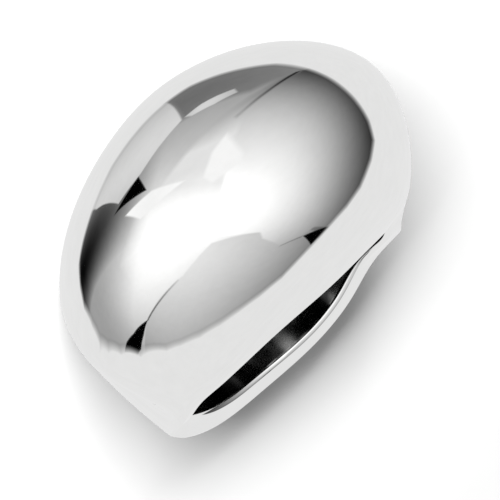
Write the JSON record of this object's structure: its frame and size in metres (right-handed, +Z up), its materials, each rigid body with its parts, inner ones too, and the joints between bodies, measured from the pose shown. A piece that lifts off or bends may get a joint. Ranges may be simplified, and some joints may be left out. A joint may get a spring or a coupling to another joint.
{
  "type": "dome ring",
  "caption": "Finger ring with a large smooth hollow-backed dome that narrows through concave shoulders into a plain tapered shank.",
  "frame": {"origin": "on the table, under the middle of the lying ring's box", "axes": "+Z up from the table, -Y the way the dome faces, X across the dome"},
  "size_m": [0.025, 0.0282, 0.0157],
  "materials": {
    "polished_silver": "high polish, white plated silver"
  },
  "bodies": {
    "root": {"dome_ring": "polished_silver"}
  },
  "joints": []
}
